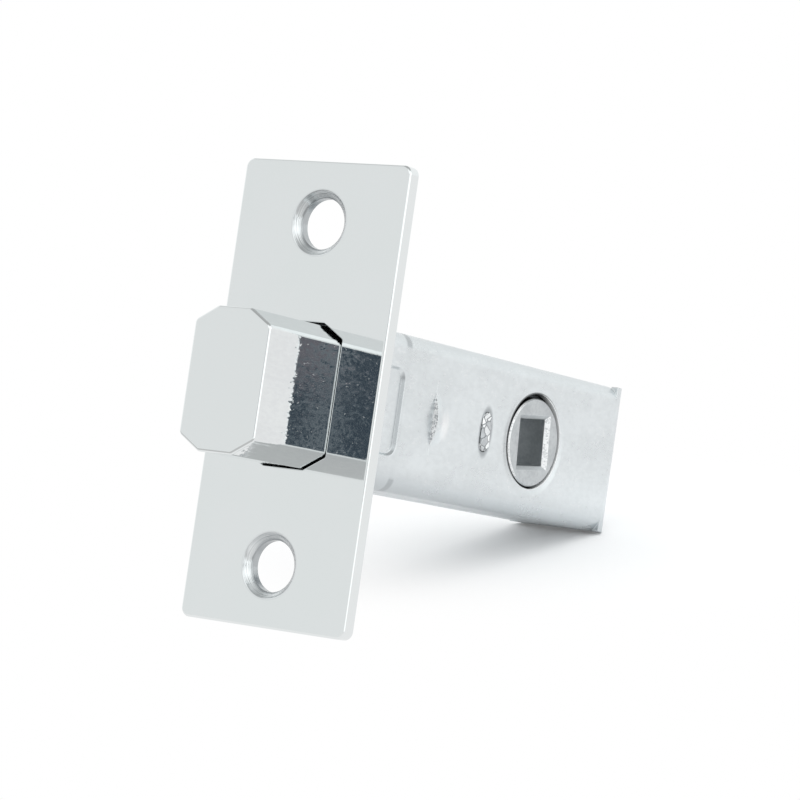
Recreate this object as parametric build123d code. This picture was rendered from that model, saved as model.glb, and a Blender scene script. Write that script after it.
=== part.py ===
from build123d import *
from math import cos, radians, sin
import os

# Tubular mortice privacy bolt, in millimetres.
# The origin is the middle of the faceplate's back face, which seats in the door edge.
# X points right seen from the door edge, Y runs back into the door, Z points up.
# Lengths along the bolt are counted from the faceplate's front face, as the trade does.
# The bolt is drawn thrown, as the door is locked.

# Faceplate
plate_height = 57.0
plate_width = 25.0
plate_thickness = 2.0
plate_corner = 1.5
plate_front_bevel = 0.35
plate_rear_bevel = 0.3
screw_spacing = 41.9
screw_hole = 6.3
countersink = 8.1
aperture_side_gap = 0.6
aperture_end_gap = 0.55

# The case is fixed a little off the plate's middle, and the bolt stands with it
set_right = 0.3
set_down = 0.2

# Bolt head, an octagonal bar with a tenon at its back
bolt_width = 11.3
bolt_height = 17.4
bolt_chamfer_wide = 3.15
bolt_chamfer_high = 1.85
bolt_projection = 14.1
bolt_nose_round = 0.4
bolt_long_round = 0.8
bolt_shoulder = 12.0
tenon_length = 4.6
tenon_thickness = 3.6
tenon_height = 15.0

# Folded case
sheet = 1.0
case_end = 63.8
case_bend = 1.9
rear_bend = 2.5
seam_gap = 0.4
rear_tab_lead = 0.3
bolt_side_clearance = 0.1
bolt_end_clearance = 0.1
pocket_depth = 0.4
pocket_front = 4.6
pocket_rear = 12.1
pocket_height = 11.0
pocket_corner = 1.6
pocket_slope = 0.35
ear_reach = 4.0
ear_height = 9.0
ear_bend = 0.4
ear_relief = 0.5
barb_front = 19.05
barb_height = 6.2
barb_rise = 0.75
slot_width = 2.3
slot_height = 5.1

# Follower, the turned piece with the spindle socket
hub_back = 42.3
hub_hole = 12.4
hub_gap = 0.4
hub_hang = 0.15
hub_proud = 0.05
hub_rim_bevel = 0.25
hub_collar = 13.6
hub_collar_thickness = 1.2
hub_collar_play = 0.2
hub_barrel = 9.4
socket_size = 6.1
socket_bevel = 0.55
socket_lean = 5.5
arm_radius = 7.85
arm_half_turn = 53.0
arm_web_thickness = 3.0
arm_web_width = 3.2
nose_diameter = 1.6

# Tail, two pressed plates behind the bolt head
tail_sheet = 1.2
tail_wall_clearance = 0.2
tail_hub_clearance = 0.25
tail_post = 2.2
tail_corner = 1.2
tail_land = 2.461
nose_play = 0.5
rivet_diameter = 2.6
rivet_head = 4.0
rivet_head_height = 0.5
rivet_head_bevel = 0.3
rivet_spacing = 9.0
spacer_diameter = 2.1
spacer_pin = 1.3
spacer_peen = 0.3

# Bridge between the case walls, and the spring strip clipped over it
bridge_thickness = 2.0
bridge_height = 7.8
lug_slot_clearance = 0.08
lug_short_of_face = 0.05
spring_strip = 0.4
spring_leg = 4.2
spring_rail_clearance = 0.15
spring_stop_clearance = 0.3
detent_depth = 0.5

# Worked-out sizes
case_width = bolt_width + 2 * (bolt_side_clearance + pocket_depth + sheet)
case_height = bolt_height + 2 * (bolt_end_clearance + sheet)
inner_width = case_width - 2 * sheet
inner_height = case_height - 2 * sheet
bolt_throw = 2 * arm_radius * sin(radians(arm_half_turn))
rivet_back = bolt_shoulder + tenon_length / 2
rail_inner = hub_barrel / 2 + tail_hub_clearance
tail_half_height = inner_height / 2 - tail_wall_clearance
tail_outer = tenon_thickness / 2 + tail_sheet
# The bridge stands clear of the tail's rivets when the bolt is drawn back
drawn_window = rivet_back + tail_land + bolt_throw
slot_middle = round(drawn_window + spring_stop_clearance + spring_strip + bridge_thickness / 2, 2)
bridge_front = slot_middle - bridge_thickness / 2
bridge_rear = slot_middle + bridge_thickness / 2
window_front = bridge_front - spring_strip - spring_stop_clearance - bolt_throw
window_rear = hub_back + hub_barrel / 2 + tail_hub_clearance
tail_rear = window_rear + tail_post
tab_front = case_end - rear_bend - rear_tab_lead
nose_at_rest = hub_back - arm_radius * sin(radians(arm_half_turn))
notch_width = nose_diameter + 2 * nose_play
seat = Pos(0, -plate_thickness, 0)
place = seat * Pos(set_right, 0, -set_down)


def along_y(sketch, front, rear):
    """Extrude a sketch drawn in X and Z from front to rear."""
    return extrude(Plane.XZ.offset(-rear) * sketch, amount=rear - front)


def along_x(sketch, left, right):
    """Extrude a sketch drawn in Y and Z from left to right."""
    return extrude(Plane.YZ.offset(left) * sketch, amount=right - left)


def octagon(width, height, cut_wide, cut_high):
    """An upright bar section with its four corners cut off."""
    half_w = width / 2
    half_h = height / 2
    corner = [(half_w, half_h - cut_high), (half_w - cut_wide, half_h)]
    right = [(x, -z) for x, z in reversed(corner)] + corner
    left = [(-x, -z) for x, z in right]
    return make_face(Polyline(*right, *left, close=True))


def cross_pin(y, z, diameter, length):
    """A round pin along X, centred on the case."""
    return Pos(0, y, z) * Rot(0, 90, 0) * Cylinder(diameter / 2, length)


def both_sides(solid):
    """The solid and its mirror image in the case's middle plane."""
    return [solid, mirror(solid, Plane.YZ)]


def make_faceplate():
    outline = RectangleRounded(plate_width, plate_height, plate_corner)
    plate = along_y(outline, 0, plate_thickness)
    front = plate.faces().sort_by(Axis.Y)[0]
    plate = chamfer(front.edges(), plate_front_bevel)
    rear = plate.faces().sort_by(Axis.Y)[-1]
    plate = chamfer(rear.edges(), plate_rear_bevel)
    hole = octagon(
        bolt_width + 2 * aperture_side_gap,
        bolt_height + 2 * aperture_end_gap,
        bolt_chamfer_wide,
        bolt_chamfer_high,
    )
    plate -= along_y(hole, 0, plate_thickness)
    cone_depth = (countersink - screw_hole) / 2
    for side in (1, -1):
        spot = Plane.XZ * Pos(0, side * screw_spacing / 2, 0)
        drill = Cylinder(screw_hole / 2, 2 * plate_thickness)
        cone = Cone(screw_hole / 2, countersink / 2, cone_depth)
        plate -= spot * drill
        plate -= spot * Pos(0, 0, -cone_depth / 2) * cone
    return plate


def round_rear(block, radius):
    """Round the two upright edges at the back of a block."""
    upright = block.faces().sort_by(Axis.Y)[-1].edges().filter_by(Axis.Z)
    return fillet(upright, radius)


def case_outside():
    """The case's outer form: rounded along its folds, square at the rear tabs."""
    folded = RectangleRounded(case_width, case_height, case_bend)
    block = along_y(folded, plate_thickness, tab_front)
    block += along_y(Rectangle(case_width, case_height), tab_front, case_end)
    return round_rear(block, rear_bend)


def case_inside():
    hollow = RectangleRounded(inner_width, inner_height, case_bend - sheet)
    return round_rear(along_y(hollow, plate_thickness, case_end - sheet), rear_bend - sheet)


def pocket_tool(grow):
    """The pressed pocket as a solid standing on the cheek, its wall sloping."""
    length = pocket_rear - pocket_front
    middle = (pocket_rear + pocket_front) / 2
    mouth = RectangleRounded(length + grow, pocket_height + grow, pocket_corner)
    floor = RectangleRounded(
        length + grow - 2 * pocket_slope,
        pocket_height + grow - 2 * pocket_slope,
        pocket_corner - pocket_slope,
    )
    outer = Plane.YZ.offset(case_width / 2) * Pos(middle, 0) * mouth
    inner = Plane.YZ.offset(case_width / 2 - pocket_depth) * Pos(middle, 0) * floor
    return loft([outer.face(), inner.face()])


def barb_tool():
    """Half a shallow round dome, cut square on the side that faces the plate."""
    foot = barb_height / 2
    ball = (foot**2 + barb_rise**2) / (2 * barb_rise)
    dome = Pos(case_width / 2 + barb_rise - ball, barb_front, 0) * Sphere(ball)
    rear = Pos(case_width / 2 + foot, barb_front + foot, 0) * Box(2 * foot, 2 * foot, 4 * foot)
    return dome & rear


def ear_profile():
    """Plan of the right ear, folded out from the cheek against the plate."""
    face = case_width / 2
    inside = face - sheet
    turn = plate_thickness + sheet + ear_bend
    reach = face + ear_reach
    lines = [
        Line((inside, turn), (face, turn)),
        RadiusArc((face, turn), (face + ear_bend, turn - ear_bend), -ear_bend),
        Line((face + ear_bend, turn - ear_bend), (reach, turn - ear_bend)),
        Line((reach, turn - ear_bend), (reach, plate_thickness)),
        Line((reach, plate_thickness), (face + ear_bend, plate_thickness)),
        RadiusArc((face + ear_bend, plate_thickness), (inside, turn), sheet + ear_bend),
    ]
    return make_face(lines)


def make_case():
    case = case_outside() - case_inside()
    # The flanges folded over the top and bottom meet along a seam
    rear_wall = case_end - sheet
    seam_length = rear_wall - plate_thickness
    case -= Pos(0, plate_thickness + seam_length / 2, 0) * Box(seam_gap, seam_length, 2 * case_height)
    # Behind the flanges the cheeks' ends are folded round as upright tabs
    behind = Pos(0, (tab_front + rear_wall) / 2, 0)
    case -= behind * Box(inner_width, rear_wall - tab_front, 2 * case_height)
    slot = SlotOverall(slot_height, slot_width, rotation=90)
    case -= along_x(Pos(slot_middle, 0) * slot, -case_width, case_width)
    case -= cross_pin(hub_back, hub_hang, hub_hole, 2 * case_width)
    # The cheeks are pressed in beside the bolt, and lanced out further back
    turn = plate_thickness + sheet + ear_bend
    gap = Pos(case_width / 2, plate_thickness, 0) * Box(
        3 * sheet, 2 * (turn - plate_thickness), ear_height + 2 * ear_relief
    )
    ear = extrude(Plane.XY.offset(-ear_height / 2) * ear_profile(), amount=ear_height)
    barb = barb_tool()
    for piece in both_sides(gap):
        case -= piece
    for piece in both_sides(ear):
        case += piece
    for piece in both_sides(Pos(-sheet, 0, 0) * pocket_tool(0)):
        case += piece
    for piece in both_sides(pocket_tool(0)):
        case -= piece
    for piece in both_sides(barb):
        case += piece
    for piece in both_sides(Pos(-sheet, 0, 0) * barb):
        case -= piece
    return case


def make_bolt_head():
    section = octagon(bolt_width, bolt_height, bolt_chamfer_wide, bolt_chamfer_high)
    head = along_y(section, -bolt_projection, bolt_shoulder)
    head = fillet(head.edges().filter_by(Axis.Y), bolt_long_round)
    head = fillet(head.faces().sort_by(Axis.Y)[0].edges(), bolt_nose_round)
    tenon = along_y(
        Rectangle(tenon_thickness, tenon_height), bolt_shoulder, bolt_shoulder + tenon_length
    )
    head += tenon
    for side in (1, -1):
        head -= cross_pin(rivet_back, side * rivet_spacing / 2, rivet_diameter, 2 * bolt_width)
    return head


def make_tail_plate(side):
    inner = tenon_thickness / 2
    length = tail_rear - bolt_shoulder
    blank = Pos(bolt_shoulder + length / 2, 0) * Rectangle(length, 2 * tail_half_height)
    window_length = window_rear - window_front
    window = Pos(window_front + window_length / 2, 0) * RectangleRounded(
        window_length, 2 * rail_inner, tail_corner
    )
    notch = Pos(nose_at_rest, tail_half_height) * Rectangle(
        notch_width, 2 * (tail_half_height - rail_inner) + tail_corner
    )
    blank = blank - window - notch
    for back in (0, bolt_throw):
        blank -= Pos(slot_middle - back, rail_inner) * Circle(detent_depth)
    for high in (1, -1):
        blank -= Pos(rivet_back, high * rivet_spacing / 2) * Circle(
            rivet_diameter / 2
        )
    blank -= Pos(window_rear + tail_post / 2, 0) * Circle(spacer_pin / 2)
    rear_corners = [v for v in blank.vertices() if v.X > tail_rear - 0.01]
    blank = fillet(rear_corners, tail_corner)
    plate = along_x(blank, inner, inner + tail_sheet)
    return plate if side > 0 else mirror(plate, Plane.YZ)


def make_tail_rivets():
    rivets = []
    for side in (1, -1):
        z = side * rivet_spacing / 2
        rivet = cross_pin(rivet_back, z, rivet_diameter, 2 * tail_outer)
        for end in (1, -1):
            at = end * (tail_outer + rivet_head_height / 2)
            head = Pos(at, 0, 0) * cross_pin(rivet_back, z, rivet_head, rivet_head_height)
            outer = head.faces().sort_by(Axis.X)[-1 if end > 0 else 0]
            rivet += chamfer(outer.edges(), rivet_head_bevel)
        rivets.append(rivet)
    return Compound(rivets)


def make_tail_spacer():
    y = window_rear + tail_post / 2
    spacer = cross_pin(y, 0, spacer_diameter, tenon_thickness)
    pin = cross_pin(y, 0, spacer_pin, 2 * (tail_outer + spacer_peen))
    return spacer + pin


def make_follower():
    width = case_width + 2 * hub_proud
    journal = hub_hole / 2 - hub_gap
    hub = cross_pin(0, 0, 2 * journal, width)
    hub = chamfer(hub.edges().filter_by(GeomType.CIRCLE), hub_rim_bevel)
    collar_out = inner_width / 2 - hub_collar_play
    hub += cross_pin(0, 0, hub_collar, 2 * collar_out)
    waist = 2 * (collar_out - hub_collar_thickness)
    hub -= cross_pin(0, 0, 2 * hub_collar, waist)
    hub += cross_pin(0, 0, hub_barrel, waist)
    # The arm leans forward at rest, with a round nose across its end
    turn = radians(90 + arm_half_turn)
    toward = Vector(cos(turn), sin(turn))
    web_end = arm_radius + nose_diameter / 2 - arm_web_width / 2
    web = Rot(0, 0, 90 + arm_half_turn) * (
        Pos(web_end / 2, 0) * Rectangle(web_end, arm_web_width)
        + Pos(web_end, 0) * Circle(arm_web_width / 2)
    )
    hub += along_x(web, -arm_web_thickness / 2, arm_web_thickness / 2)
    hub += cross_pin(toward.X * arm_radius, toward.Y * arm_radius, nose_diameter, 2 * tail_outer)
    socket = Rot(0, 0, socket_lean) * Rectangle(socket_size, socket_size)
    hub -= along_x(socket, -width, width)
    mouth = Rot(0, 0, socket_lean) * Rectangle(
        socket_size + 2 * socket_bevel, socket_size + 2 * socket_bevel
    )
    flare = loft(
        [
            (Plane.YZ.offset(width / 2) * mouth).face(),
            (Plane.YZ.offset(width / 2 - socket_bevel) * socket).face(),
        ]
    )
    for piece in both_sides(flare):
        hub -= piece
    return Pos(0, hub_back, 0) * hub


def make_bridge():
    body = Pos(0, slot_middle, 0) * Box(inner_width, bridge_thickness, bridge_height)
    lug_reach = case_width - 2 * lug_short_of_face
    lug = SlotOverall(
        slot_height - 2 * lug_slot_clearance, bridge_thickness, rotation=90
    )
    return body + along_x(Pos(slot_middle, 0) * lug, -lug_reach / 2, lug_reach / 2)


def make_detent_spring():
    top = bridge_height / 2
    crown = rail_inner - spring_rail_clearance
    low = top - spring_leg
    half = bridge_thickness / 2
    outer = half + spring_strip
    outside = [
        Line((-outer, low), (-outer, top)),
        ThreePointArc((-outer, top), (0, crown), (outer, top)),
        Line((outer, top), (outer, low)),
    ]
    inside = [
        Line((outer, low), (half, low)),
        Line((half, low), (half, top)),
        ThreePointArc((half, top), (0, crown - spring_strip), (-half, top)),
        Line((-half, top), (-half, low)),
        Line((-half, low), (-outer, low)),
    ]
    strip = Pos(slot_middle, 0) * make_face(outside + inside)
    return along_x(strip, -tail_outer, tail_outer)


os.makedirs("parts", exist_ok=True)
nodes = {
    "faceplate": seat * make_faceplate(),
    "case": place * make_case(),
    "guide_bridge": place * make_bridge(),
    "detent_spring": place * make_detent_spring(),
    "bolt_head": place * make_bolt_head(),
    "tail_plate_right": place * make_tail_plate(1),
    "tail_plate_left": place * make_tail_plate(-1),
    "tail_rivets": place * make_tail_rivets(),
    "tail_spacer": place * make_tail_spacer(),
    "follower": place * make_follower(),
}
for name, solid in nodes.items():
    export_step(solid, f"parts/{name}.step")
print("throw", round(bolt_throw, 3), "nodes", len(nodes))
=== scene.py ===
import math

import bpy
import numpy as np
from mathutils import Matrix, Vector
from mathutils.geometry import delaunay_2d_cdt


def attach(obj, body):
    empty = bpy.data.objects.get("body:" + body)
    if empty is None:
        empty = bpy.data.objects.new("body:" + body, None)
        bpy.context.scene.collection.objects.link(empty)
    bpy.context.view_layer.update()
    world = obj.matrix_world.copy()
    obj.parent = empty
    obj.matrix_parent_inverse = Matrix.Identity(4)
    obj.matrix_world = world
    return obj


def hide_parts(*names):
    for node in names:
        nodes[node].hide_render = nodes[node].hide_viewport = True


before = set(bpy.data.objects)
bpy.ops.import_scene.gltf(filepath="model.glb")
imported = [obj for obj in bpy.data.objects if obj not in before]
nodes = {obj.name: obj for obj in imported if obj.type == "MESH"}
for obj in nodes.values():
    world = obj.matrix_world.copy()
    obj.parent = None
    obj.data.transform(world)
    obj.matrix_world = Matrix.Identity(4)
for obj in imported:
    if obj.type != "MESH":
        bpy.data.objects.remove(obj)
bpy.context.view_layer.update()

mm = 0.001  # the frame is in metres, the sizes below are in millimetres
print("frame loaded,", len(nodes), "nodes")


# Shader helpers

def addNode(tree, kind, **inputs):
    # a node of one kind, with its unlinked sockets set by name, blanks written as _
    node = tree.nodes.new(kind)
    for name, value in inputs.items():
        node.inputs[name.replace("_", " ")].default_value = value
    return node


def feed(tree, socket, value):
    # links a socket, or sets it to a plain value
    if isinstance(value, bpy.types.NodeSocket):
        tree.links.new(value, socket)
    else:
        socket.default_value = value


def addMath(tree, operation, *values):
    # one sum of one to three numbers or sockets, and gives its result socket
    node = tree.nodes.new("ShaderNodeMath")
    node.operation = operation
    for slot, value in enumerate(values):
        feed(tree, node.inputs[slot], value)
    return node.outputs[0]


def times(tree, first, second):
    return addMath(tree, "MULTIPLY", first, second)


def addVector(tree, operation, *values):
    # one sum of vectors, and gives its result socket
    node = tree.nodes.new("ShaderNodeVectorMath")
    node.operation = operation
    for slot, value in enumerate(values):
        feed(tree, node.inputs[slot], value)
    return node.outputs["Value"] if operation in ("DOT_PRODUCT", "LENGTH") else node.outputs[0]


def addRamp(tree, value, low, high, start=0.0, end=1.0):
    # smooth step of a value from start at low to end at high
    node = addNode(tree, "ShaderNodeMapRange", From_Min=low, From_Max=high, To_Min=start, To_Max=end)
    node.interpolation_type = "SMOOTHSTEP"
    feed(tree, node.inputs["Value"], value)
    return node.outputs["Result"]


def mixColour(tree, mask, first, second):
    # first where the mask is 0, second where it is 1, each a socket or red, green and blue
    node = tree.nodes.new("ShaderNodeMix")
    node.data_type = "RGBA"
    first, second = (c if isinstance(c, bpy.types.NodeSocket) else (*c, 1.0) for c in (first, second))
    for name, value in (("Factor_Float", mask), ("A_Color", first), ("B_Color", second)):
        feed(tree, next(s for s in node.inputs if s.identifier == name), value)
    return next(s for s in node.outputs if s.identifier == "Result_Color")


def addBump(tree, height, distance, normal=None):
    # the normal that a height gives, laid over another normal if there is one
    node = addNode(tree, "ShaderNodeBump", Strength=1.0, Distance=distance)
    tree.links.new(height, node.inputs["Height"])
    if normal:
        tree.links.new(normal, node.inputs["Normal"])
    return node.outputs["Normal"]


def splitAxes(tree, vector):
    node = tree.nodes.new("ShaderNodeSeparateXYZ")
    tree.links.new(vector, node.inputs[0])
    return node.outputs


def objectPlace(tree):
    # where a point lies in the frame, in metres
    return tree.nodes.new("ShaderNodeTexCoord").outputs["Object"]


def surfaceNormal(tree, kind="Normal"):
    return tree.nodes.new("ShaderNodeNewGeometry").outputs[kind]


def wire(tree, node, **sockets):
    # links a node's inputs by name, blanks written as _
    for name, value in sockets.items():
        tree.links.new(value, node.inputs[name.replace("_", " ")])


def mixShaders(tree, share, first, second):
    node = tree.nodes.new("ShaderNodeMixShader")
    for slot, value in enumerate((share, first, second)):
        tree.links.new(value, node.inputs[slot])
    return node.outputs[0]


def newGroup(name, inputs, outputs):
    # an empty shader node group with named inputs and outputs
    group = bpy.data.node_groups.new(name, "ShaderNodeTree")
    for label, kind, value in inputs:
        socket = group.interface.new_socket(name=label, in_out="INPUT", socket_type=kind)
        if value is not None:
            socket.default_value = value
    for label, kind in outputs:
        group.interface.new_socket(name=label, in_out="OUTPUT", socket_type=kind)
    return group, group.nodes.new("NodeGroupInput"), group.nodes.new("NodeGroupOutput")


def placeGroup(tree, group, **inputs):
    node = tree.nodes.new("ShaderNodeGroup")
    node.node_tree = group
    for name, value in inputs.items():
        feed(tree, node.inputs[name.replace("_", " ")], value)
    return node


# Effects that several finishes share

def makeMottleGroup():
    # two sizes of soft cloudy patches, mixed, from 0 to 1
    group, start, end = newGroup("mottle", [
        ("Stretch", "NodeSocketVector", (1.0, 1.0, 1.0)),
        ("Coarse Scale", "NodeSocketFloat", 200.0),
        ("Fine Scale", "NodeSocketFloat", 900.0),
        ("Fine Share", "NodeSocketFloat", 0.4),
        ("Low", "NodeSocketFloat", 0.35),
        ("High", "NodeSocketFloat", 0.65),
    ], [("Mask", "NodeSocketFloat")])
    squeezed = addVector(group, "MULTIPLY", objectPlace(group), start.outputs["Stretch"])
    coarse = addNode(group, "ShaderNodeTexNoise", Detail=3.0, Roughness=0.55)
    fine = addNode(group, "ShaderNodeTexNoise", Detail=2.0, Roughness=0.5)
    for noise, label in ((coarse, "Coarse Scale"), (fine, "Fine Scale")):
        wire(group, noise, Vector=squeezed, Scale=start.outputs[label])
    blend = group.nodes.new("ShaderNodeMix")
    group.links.new(start.outputs["Fine Share"], blend.inputs[0])
    group.links.new(coarse.outputs["Fac"], blend.inputs[2])
    group.links.new(fine.outputs["Fac"], blend.inputs[3])
    spread = group.nodes.new("ShaderNodeMapRange")
    spread.interpolation_type = "SMOOTHSTEP"
    wire(group, spread, Value=blend.outputs[0], From_Min=start.outputs["Low"], From_Max=start.outputs["High"])
    wire(group, end, Mask=spread.outputs["Result"])
    return group


def makeBrushGroup():
    # polishing marks: the normal leans by stretched noise, most of it small and a little of it large
    group, start, end = newGroup("brushMarks", [
        ("Stretch", "NodeSocketVector", (1.0, 0.1, 1.0)),
        ("Scale", "NodeSocketFloat", 3000.0),
        ("Lean", "NodeSocketVector", (0.0, 0.02, 0.02)),
        ("Normal", "NodeSocketVector", None),
    ], [("Normal", "NodeSocketVector")])
    squeezed = addVector(group, "MULTIPLY", objectPlace(group), start.outputs["Stretch"])
    noise = addNode(group, "ShaderNodeTexNoise", Detail=4.0, Roughness=0.65)
    wire(group, noise, Vector=squeezed, Scale=start.outputs["Scale"])
    centred = addVector(group, "SUBTRACT", noise.outputs["Color"], (0.5, 0.5, 0.5))
    # the cube of the noise keeps the calm stretches calm
    squared = addVector(group, "MULTIPLY", centred, centred)
    cubed = addVector(group, "MULTIPLY", squared, centred)
    strong = addVector(group, "MULTIPLY", cubed, (60.0, 60.0, 60.0))
    both = addVector(group, "ADD", centred, strong)
    lean = addVector(group, "MULTIPLY", both, start.outputs["Lean"])
    bent = addVector(group, "NORMALIZE", addVector(group, "ADD", start.outputs["Normal"], lean))
    wire(group, end, Normal=bent)
    return group


def makeEdgeGroup():
    # 1 on the narrow bands beside sharp edges, where the rounded and the true normal part
    group, start, end = newGroup("edgeWearAndHighlight", [
        ("Width", "NodeSocketFloat", 0.0003),
        ("Gain", "NodeSocketFloat", 4.0),
    ], [("Mask", "NodeSocketFloat"), ("Normal", "NodeSocketVector")])
    rounded = group.nodes.new("ShaderNodeBevel")
    rounded.samples = 8
    wire(group, rounded, Radius=start.outputs["Width"])
    agree = addVector(group, "DOT_PRODUCT", rounded.outputs["Normal"], surfaceNormal(group, "True Normal"))
    mask = times(group, addMath(group, "SUBTRACT", 1.0, agree), start.outputs["Gain"])
    wire(group, end, Mask=addMath(group, "MINIMUM", mask, 1.0), Normal=rounded.outputs["Normal"])
    return group


mottleGroup = makeMottleGroup()
brushGroup = makeBrushGroup()
edgeGroup = makeEdgeGroup()


def mottle(tree, coarse, fine, share, **more):
    # the mask of soft patches of two sizes
    node = placeGroup(tree, mottleGroup, Coarse_Scale=coarse, Fine_Scale=fine, Fine_Share=share, **more)
    return node.outputs["Mask"]


def startFinish(name, finish):
    # a metal with its constants set on the shader itself
    material = bpy.data.materials.new(name)
    material.use_nodes = True
    tree = material.node_tree
    shader = tree.nodes["Principled BSDF"]
    shader.inputs["Metallic"].default_value = 1.0
    shader.inputs["Base Color"].default_value = (*finish["colour"], 1.0)
    shader.inputs["Roughness"].default_value = finish["roughness"]
    return material, tree, shader


def addObject(name, data):
    # an untransformed object, in the scene
    thing = bpy.data.objects.new(name, data)
    bpy.context.scene.collection.objects.link(thing)
    return thing


def dress(name, material):
    nodes[name].data.materials.clear()
    nodes[name].data.materials.append(material)


# Surface helpers: patches with their own true normals, welded into closed skins

def newSkin():
    return {"points": [], "normals": [], "faces": [], "paint": [], "count": 0}


def addPatch(skin, points, normals, faces, paint=0):
    # faces index this patch's own points, and are turned to agree with the normals
    points, normals, faces = np.asarray(points, float), np.asarray(normals, float), np.asarray(faces)
    if faces.shape[1] == 4:
        across = np.cross(points[faces[:, 2]] - points[faces[:, 0]], points[faces[:, 3]] - points[faces[:, 1]])
    else:
        across = np.cross(points[faces[:, 1]] - points[faces[:, 0]], points[faces[:, 2]] - points[faces[:, 0]])
    wrong = (across * normals[faces].sum(axis=1)).sum(axis=1) < 0
    faces[wrong] = faces[wrong][:, ::-1]
    skin["points"].append(points)
    skin["normals"].append(normals)
    skin["faces"] += [tuple(face) for face in (faces + skin["count"]).tolist()]
    skin["paint"] += [paint] * len(faces)
    skin["count"] += len(points)


def addGrid(skin, points, normals, paint=0):
    # points and normals are rows by columns by 3
    rows, columns = points.shape[:2]
    first = (np.arange(rows - 1)[:, None] * columns + np.arange(columns - 1)[None, :]).ravel()
    faces = np.stack([first, first + 1, first + columns + 1, first + columns], axis=1)
    addPatch(skin, points.reshape(-1, 3), normals.reshape(-1, 3), faces, paint)


def insideLoop(loop, spots):
    # even and odd crossings of a level line with the loop's sides
    nextOne = np.roll(loop, -1, axis=0)
    found = np.zeros(len(spots), bool)
    for (ax, ay), (bx, by) in zip(loop, nextOne):
        spans = (ay > spots[:, 1]) != (by > spots[:, 1])
        with np.errstate(divide="ignore", invalid="ignore"):
            reach = (bx - ax) * (spots[:, 1] - ay) / (by - ay) + ax
        found ^= spans & (spots[:, 0] < reach)
    return found


def addFlat(skin, loops, place, normal, paint=0):
    # a flat face between its first loop and the holes after it, each a closed loop without its end repeated
    flat = np.concatenate(loops)
    sides, start = [], 0
    for loop in loops:
        sides += [(start + i, start + (i + 1) % len(loop)) for i in range(len(loop))]
        start += len(loop)
    corners, _, faces, origins, _, _ = delaunay_2d_cdt([Vector(p) for p in flat], sides, [], 0, 1e-7)
    origin = np.array([o[0] for o in origins])
    faces = origin[np.array(faces)]
    middles = flat[faces].mean(axis=1)
    keep = insideLoop(loops[0], middles)
    for hole in loops[1:]:
        keep &= ~insideLoop(hole, middles)
    points = place(flat)
    addPatch(skin, points, np.tile(normal, (len(points), 1)), faces[keep], paint)


def roundPath(corners, radii, closed, steps=6):
    # a path with its corners rounded, and the normal at each point, on the right of the way along it
    corners = [np.array(c, float) for c in corners]
    count = len(corners)
    points, normals = [], []
    for i in range(count):
        here = corners[i]
        if not closed and i in (0, count - 1):
            way = corners[1] - here if i == 0 else here - corners[-2]
            way = way / np.linalg.norm(way)
            points.append(here)
            normals.append(np.array((way[1], -way[0])))
            continue
        before = here - corners[i - 1]
        after = corners[(i + 1) % count] - here
        before, after = before / np.linalg.norm(before), after / np.linalg.norm(after)
        normalA, normalB = np.array((before[1], -before[0])), np.array((after[1], -after[0]))
        turn = before[0] * after[1] - before[1] * after[0]
        side = 1.0 if turn > 0 else -1.0
        centre = here - side * radii[i] * (normalA + normalB) / (1 + normalA @ normalB)
        angleA = math.atan2(normalA[1], normalA[0])
        sweep = math.atan2(turn, before @ after)
        for angle in np.linspace(angleA, angleA + sweep, steps + 1):
            normal = np.array((math.cos(angle), math.sin(angle)))
            points.append(centre + side * radii[i] * normal)
            normals.append(normal)
    return np.array(points), np.array(normals)


def circlePath(centre, radius, steps):
    # a round hole's edge, its normals toward the middle
    angle = np.linspace(0, 2 * math.pi, steps, endpoint=False)
    outward = np.stack([np.cos(angle), np.sin(angle)], axis=1)
    return np.array(centre) + radius * outward, -outward


def upright(flat, y):
    # points drawn in X and Z, set at a depth y
    return np.stack([flat[:, 0], np.full(len(flat), y), flat[:, 1]], axis=1)


def offset(path, outset):
    points, normals = path
    return points + outset * normals


def addSweep(skin, path, profile, paint=0):
    # carries a profile of (outset, y) round a closed path drawn in X and Z
    points, normals = (np.vstack([a, a[:1]]) for a in path)
    rims, leans = profile
    grid = np.empty((len(rims), len(points), 3))
    facing = np.empty_like(grid)
    for row, ((outset, y), (out, back)) in enumerate(zip(rims, leans)):
        grid[row] = upright(points + outset * normals, y)
        facing[row] = upright(out * normals, back)
    addGrid(skin, grid, facing, paint)


def finishSkin(name, skin, materials, body, replaced=()):
    points, normals = np.concatenate(skin["points"]), np.concatenate(skin["normals"])
    _, first, merged = np.unique(np.round(points * 1e4).astype(np.int64), axis=0, return_index=True,
                                 return_inverse=True)
    merged = merged.ravel()
    faces, corners, paint = [], [], []
    for face, colour in zip(skin["faces"], skin["paint"]):
        kept = [i for k, i in enumerate(face) if merged[i] != merged[face[k - 1]]]
        if len(kept) >= 3 and len({merged[i] for i in kept}) == len(kept):
            faces.append([int(merged[i]) for i in kept])
            corners += kept
            paint.append(colour)
    mesh = bpy.data.meshes.new(name)
    mesh.from_pydata((points[first] * mm).tolist(), [], faces)
    mesh.polygons.foreach_set("material_index", paint)
    mesh.polygons.foreach_set("use_smooth", [True] * len(faces))
    lengths = np.linalg.norm(normals, axis=1, keepdims=True)
    mesh.normals_split_custom_set((normals / lengths)[corners].tolist())
    for material in materials:
        mesh.materials.append(material)
    piece = addObject(name, mesh)
    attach(piece, body)
    if replaced:
        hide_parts(*replaced)
    print(name, len(faces), "faces")
    return piece


# Faceplate: polished plating, a rounded front edge, countersunk holes and the bolt's opening

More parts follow.
